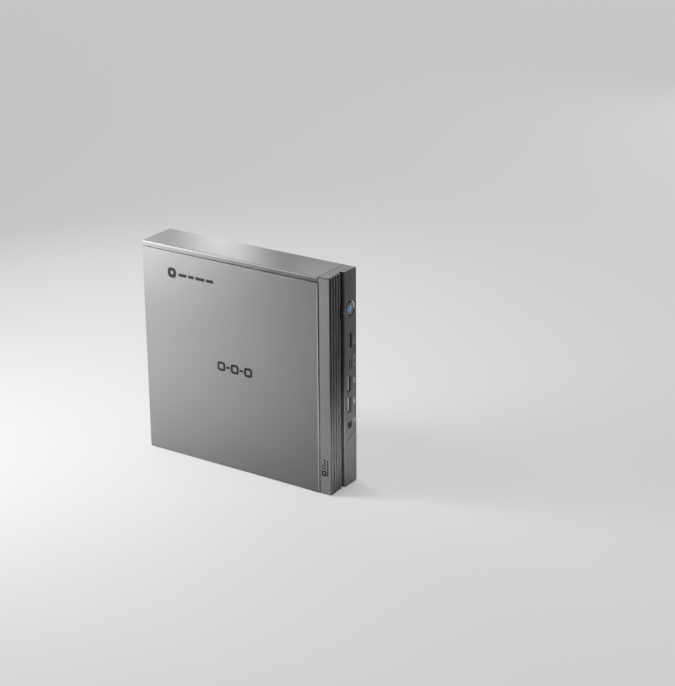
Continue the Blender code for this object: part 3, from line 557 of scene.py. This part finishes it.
def finish_piece(shape, name, material, body):
    mesh = bpy.data.meshes.new(name)
    shape.to_mesh(mesh)
    shape.free()
    piece = bpy.data.objects.new(name, mesh)
    SCENE.collection.objects.link(piece)
    piece.data.materials.append(material)
    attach(piece, body)
    return piece


def middle(node):
    low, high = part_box(node)
    return (low + high) / 2


def beside(node, distance):
    """Place on a narrow side, at the node's height and this far to its -Y side."""
    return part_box(node)[0].y - distance, middle(node).z


# ---- printed marks, painted edge highlights and painted seam shade -------------------------
def print_cover_marks():
    """Two plain marks: a square with a row of dashes, and three linked squares."""
    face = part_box("side_cover")[0].y
    left = CAD_BOX[0].x
    upper = Relief("cover", face)
    place, side, line, radius = UPPER_SQUARE
    upper.frame(left + place, UPPER_MARK_Z, side, side, line, radius)
    for start, length in UPPER_DASHES:
        upper.bar(left + start + length / 2, UPPER_MARK_Z - UPPER_DASH_DROP, length,
                  UPPER_DASH_HEIGHT)
    upper.done("cover_mark_upper", DARK_INK)
    centre = Relief("cover", face)
    place, side, line, radius = MIDDLE_SQUARE
    for i in range(3):
        centre.frame(left + place + i * MIDDLE_PITCH, MIDDLE_MARK_Z, side, side, line, radius)
    place, length, height = MIDDLE_LINK
    for i in range(2):
        centre.bar(left + place + i * MIDDLE_PITCH, MIDDLE_MARK_Z, length, height)
    centre.done("cover_mark_middle", DARK_INK)


def print_strip_mark():
    """A small square with upright columns of dashes, low on the bezel strip."""
    low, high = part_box("front_bezel")
    cover_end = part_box("side_cover")[1].x
    u = (cover_end + high.x - 0.0006) / 2
    mark = Relief("cover", low.y)
    across, place, width, height, line, radius = STRIP_SQUARE
    mark.frame(u + across, place, width, height, line, radius)
    length, width = STRIP_DASH
    for across, place, dashes in STRIP_COLUMNS:
        for i in range(dashes):
            start = place + i * STRIP_PITCH
            mark.band([(u + across, start), (u + across, start + length)], width)
    mark.done("strip_mark", DARK_INK)


def print_socket_icons():
    """Small plain pictures beside the front sockets, near the panel's far edge."""
    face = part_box("front_bezel")[1].x
    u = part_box("front_bezel")[1].y - 0.0036
    icons = Relief("front", face)
    line = 0.00035
    # a memory card with a row of bars above it
    z = middle("microsd_slot").z
    icons.frame(u, z - 0.0028, 0.0022, 0.0030, line, 0.0003)
    icons.bar(u, z - 0.0022, 0.0010, 0.0003)
    for i in range(4):
        icons.bar(u, z + 0.0002 + i * 0.0013, 0.0015, 0.0003)
    # a round plug end with a column of bars below it
    z = middle("usb_c_front").z
    icons.frame(u, z + 0.0034, 0.0020, 0.0042, line, 0.0009)
    icons.bar(u, z + 0.0034, 0.0005, 0.0020)
    for i in range(3):
        icons.bar(u - 0.0003, z - 0.0014 - i * 0.0011, 0.0015, 0.0004)
    # a square plug end beside each USB-A socket
    for i in (1, 2):
        z = middle(f"usb_a_front_{i}").z + 0.0012
        icons.frame(u, z, 0.0018, 0.0046, line)
        icons.bar(u - 0.0003, z, 0.0005, 0.0032)
    # a headset
    z = middle("headset_jack").z + 0.0018
    icons.arc(u, z, 0.0010, line, 0, 180, 12)
    icons.bar(u - 0.0010, z - 0.0004, 0.0006, 0.0010).bar(u + 0.0010, z - 0.0004, 0.0006, 0.0010)
    icons.done("socket_icons", PALE_INK)


def outline_usb_c():
    """Low rim moulded round the front USB-C opening."""
    centre = middle("usb_c_front")
    width, height, line, radius = 0.0049, 0.0107, 0.0004, 0.0020
    rim = Relief("front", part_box("front_bezel")[1].x, high=0.00012)
    rim.frame(centre.y, centre.z, width, height, line, radius)
    rim.done("usb_c_rim", MATERIALS["dark_plastic"])


def paint_cover_edge_highlight():
    """Painted highlight: a light line along the cover's edge beside the bezel strip, standing in for
    the light on its rounded edge.
    """
    low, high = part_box("side_cover")
    edge = Relief("cover", low.y)
    u, inset, width = high.x - 0.00065, 0.0006, 0.00035
    edge.band([(u, low.z + inset), (u, high.z - inset)], width)
    # painted highlight in the light paint of the button ring
    edge.done("cover_edge_highlight_line", MATERIALS["button_ring"])


def paint_sleeve_edge_highlight():
    """Painted highlight: a light line along the rounded edge between the sleeve's lip and its top."""
    low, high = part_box("housing_sleeve")
    edge = Relief("cover", low.y)
    v, width = high.z - 0.0007, 0.0009
    edge.band([(low.x + 0.0008, v), (high.x - 0.0004, v)], width)
    # painted highlight in the light paint of the button ring
    edge.done("sleeve_edge_highlight_line", MATERIALS["button_ring"])


def shade_seam_gap():
    """Painted shade: a dark band set back in the joint between the sleeve and the front bezel,
    darkening the gap.
    """
    low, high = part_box("housing_sleeve")
    centre = middle("housing_sleeve")
    inset, radius, half_width = 0.0008, 0.0008, 0.00018
    loop = rounded_box(centre.y, centre.z, high.y - low.y - 2 * inset, high.z - low.z - 2 * inset,
                       radius)
    front_foot = len(loop) // 2
    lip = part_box("side_cover")[1].z + 0.0003
    path = loop[front_foot:] + loop[:front_foot] + [(low.y + inset, lip)]
    shade_band = Relief("front", high.x + 0.00025, -half_width, half_width)
    shade_band.band(path, 0.0008)
    # painted shade in the seam gap
    shade_band.done("seam_shade_band", MATERIALS["dark_plastic"])


def print_rear_icons():
    """Small plain pictures beside the rear sockets."""
    icons = Relief("rear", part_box("rear_plate")[0].x)
    line, thin = 0.0004, 0.0003
    # a screen on a stand beside each picture socket
    for name in ("hdmi_port_1", "hdmi_port_2"):
        u, z = beside(name, 0.0032)
        icons.frame(u, z, 0.0030, 0.0044, line, 0.0003)
        icons.band([(u + 0.0024, z - 0.0012), (u + 0.0024, z + 0.0012)], line)
    # three linked boxes beside the network socket
    u, z = beside("lan_jack", 0.0030)
    for a, b in ((0, 0.0016), (-0.0016, -0.0012), (0.0016, -0.0012)):
        icons.frame(u + a, z + b, 0.0014, 0.0014, thin)
    icons.band([(u, z + 0.0009), (u, z)], thin)
    icons.band([(u - 0.0016, z - 0.0005), (u - 0.0016, z), (u + 0.0016, z), (u + 0.0016, z - 0.0005)],
               thin)
    # a square and a round plug end
    u, z = beside("usb_a_rear_2", 0.0026)
    icons.frame(u, z, 0.0018, 0.0046, line)
    icons.bar(u + 0.0003, z, 0.0005, 0.0032)
    u, z = beside("usb_c_rear", 0.0026)
    icons.frame(u, z, 0.0018, 0.0040, line, 0.0009)
    icons.bar(u, z, 0.0004, 0.0018)
    # an open ring round a dot beside the power inlet
    u, z = beside("dc_inlet", 0.0028)
    icons.arc(u, z, 0.0014, line, 40, 320, 20)
    icons.disc(u, z, 0.0005, 12)
    icons.done("rear_socket_icons", PALE_INK)


def light_power_icon():
    """Ring and stem of the power sign, lit, on the button's window."""
    window = middle("power_button_light_guide")
    icon = Relief("front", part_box("power_button_light_guide")[1].x, high=0.00005)
    icon.arc(window.y, window.z, 0.00185, 0.00080, 125, 415, 30)
    icon.band([(window.y, window.z + 0.0003), (window.y, window.z + 0.0025)], 0.00075)
    icon.done("power_icon", BLUE_LIGHT, BUTTON)


# ---- contacts, lamps, screw drives with painted shade, and threads --------------------------
def add_box(shape, low, high):
    made = bmesh.ops.create_cube(shape, size=1.0)["verts"]
    low, high = Vector(low), Vector(high)
    for vert in made:
        vert.co = Vector([low[k] + (vert.co[k] + 0.5) * (high[k] - low[k]) for k in range(3)])


def contact_row(name, node, count, pitch, width, inset, length, offset, thickness=0.00012):
    """A row of gold strips along X on a socket's contact carrier, at offset from its middle in Y."""
    low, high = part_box(node)
    centre = middle(node)
    front = centre.x > 0
    mouth = high.x if front else low.x
    inward = -1 if front else 1
    start, finish = sorted((mouth + inward * inset, mouth + inward * (inset + length)))
    foot = centre.y + offset
    near, far = sorted((foot, foot + (thickness if offset > 0 else -thickness)))
    shape = bmesh.new()
    for i in range(count):
        z = centre.z + (i - (count - 1) / 2) * pitch
        add_box(shape, (start, near, z - width / 2), (finish, far, z + width / 2))
    piece = finish_piece(shape, name, GOLD, CASING)
    round_edges(piece, thickness * 0.3)


def make_contacts():
    for i in (1, 2):
        for side in ("front", "rear"):
            contact_row(f"usb_a_{side}_{i}_contacts", f"usb_a_{side}_{i}", count=4, pitch=0.0023,
                        width=0.0012, inset=0.0020, length=0.0080, offset=-0.0001)
        contact_row(f"hdmi_port_{i}_contacts", f"hdmi_port_{i}", count=10, pitch=0.0010,
                    width=0.0005, inset=0.0024, length=0.0060, offset=0.0008)
    for side in ("front", "rear"):
        for face, offset in (("upper", 0.00035), ("lower", -0.00035)):
            contact_row(f"usb_c_{side}_contacts_{face}", f"usb_c_{side}", count=12, pitch=0.0005,
                        width=0.00025, inset=0.0014, length=0.0040, offset=offset,
                        thickness=0.00006)


def skin_rows(shape, rows):
    """Close a rod whose cross-sections are the rows, with a face at each end."""
    corners = len(rows[0])
    for a, b in zip(rows, rows[1:]):
        for k in range(corners):
            shape.faces.new((a[k], a[(k + 1) % corners], b[(k + 1) % corners], b[k]))
    shape.faces.new(rows[0][::-1])
    shape.faces.new(rows[-1])


def make_network_contacts():
    """Eight sprung wires in the network socket, and its two lamps."""
    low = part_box("lan_jack")[0]
    centre = middle("lan_jack")
    pitch, half_height, half_width = 0.00102, 0.00016, 0.00022
    bends = ((0.0030, 0.0050), (0.0040, 0.0046), (0.0100, 0.0012), (0.0108, 0.0006))
    wires = bmesh.new()
    for i in range(8):
        z = centre.z + (i - 3.5) * pitch
        rows = []
        for depth, rise in bends:
            point = Vector((low.x + depth, centre.y + rise, z))
            rows.append([wires.verts.new(point + Vector((0, a * half_height, b * half_width)))
                         for a, b in ((1, 1), (1, -1), (-1, -1), (-1, 1))])
        skin_rows(wires, rows)
    bmesh.ops.recalc_face_normals(wires, faces=wires.faces)
    finish_piece(wires, "network_contacts", GOLD, CASING)
    for name, z, material in (("link_lamp_green", centre.z + 0.0054, GREEN_LIGHT),
                              ("link_lamp_amber", centre.z - 0.0054, AMBER_LIGHT)):
        lamp = Relief("rear", low.x, -0.0004, 0.00012)
        lamp.bar(centre.y - 0.0050, z, 0.0020, 0.0032)
        piece = lamp.done(name, material)
        round_edges(piece, 0.00008)


def make_inlet_sleeve():
    """Steel contact sleeve inside the power inlet, and a bright sleeve on its pin."""
    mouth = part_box("dc_inlet")[0].x
    centre = middle("dc_inlet")
    sleeve = Relief("rear", mouth, -0.0090, -0.0010)
    sleeve.arc(centre.y, centre.z, 0.00290, 0.00030, steps=40)
    sleeve.done("dc_inlet_sleeve", MATERIALS["steel"])
    tip = Relief("rear", mouth, -0.0090, -0.0008)
    tip.arc(centre.y, centre.z, 0.00122, 0.00022, steps=28)
    piece = tip.done("dc_inlet_pin_sleeve", MATERIALS["steel"])
    round_edges(piece, 0.00005)


def shade_screw_drives():
    """Painted shade: a dark cross on each cover screw's head, standing in for the shade in its cross
    recess.
    """
    reach, line = 0.0015, 0.00065
    for i in (1, 2):
        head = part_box(f"cover_screw_{i}")[0].x
        centre = middle(f"cover_screw_{i}")
        y, z = centre.y, centre.z
        cross = Relief("rear", head, -0.00055, 0.00001)
        cross.bar(y, z, 2 * reach, line)
        cross.band([(y, z - reach), (y, z + reach)], line)
        # painted shade of the recess
        cross.done(f"cover_screw_drive_shade_{i}", MATERIALS["dark_plastic"])


def make_insert_threads():
    """Thread crests inside the four mounting inserts, as one fine helix each."""
    pitch, turns, steps = 0.0007, 4, 20
    root, crest = 0.00171, 0.00146
    flank = Vector((0, 0.00022, 0))
    for i in range(1, 5):
        centre = middle(f"mount_insert_{i}")
        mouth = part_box(f"mount_insert_{i}")[1].y - 0.0003
        shape = bmesh.new()
        rows = []
        for k in range(turns * steps + 1):
            turn = 2 * pi * k / steps
            around = Vector((cos(turn), 0, sin(turn)))
            place = Vector((centre.x, mouth - pitch * k / steps, centre.z))
            rows.append([shape.verts.new(place + around * root + flank),
                         shape.verts.new(place + around * crest),
                         shape.verts.new(place + around * root - flank)])
        skin_rows(shape, rows)
        bmesh.ops.recalc_face_normals(shape, faces=shape.faces)
        finish_piece(shape, f"mount_thread_{i}", MATERIALS["brass"], CASING)


def make_foot_ridges():
    """Two raised rings and a raised dot that give each rubber foot its grip."""
    for i in range(1, 5):
        centre = middle(f"rubber_foot_{i}")
        x, z, line = centre.x, centre.z, 0.0006
        ridges = Relief("bracket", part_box(f"rubber_foot_{i}")[1].y, -0.0002, 0.00018)
        ridges.arc(x, z, 0.0046, line, steps=40).arc(x, z, 0.0030, line, steps=32)
        ridges.disc(x, z, 0.0010)
        piece = ridges.done(f"foot_ridges_{i}", MATERIALS["rubber"])
        round_edges(piece, 0.00008)


make_camera()
make_studio()
dress_cad_nodes()
print_cover_marks()
print_strip_mark()
print_socket_icons()
outline_usb_c()
paint_cover_edge_highlight()
paint_sleeve_edge_highlight()
shade_seam_gap()
print_rear_icons()
light_power_icon()
make_contacts()
make_network_contacts()
make_inlet_sleeve()
shade_screw_drives()
make_insert_threads()
make_foot_ridges()
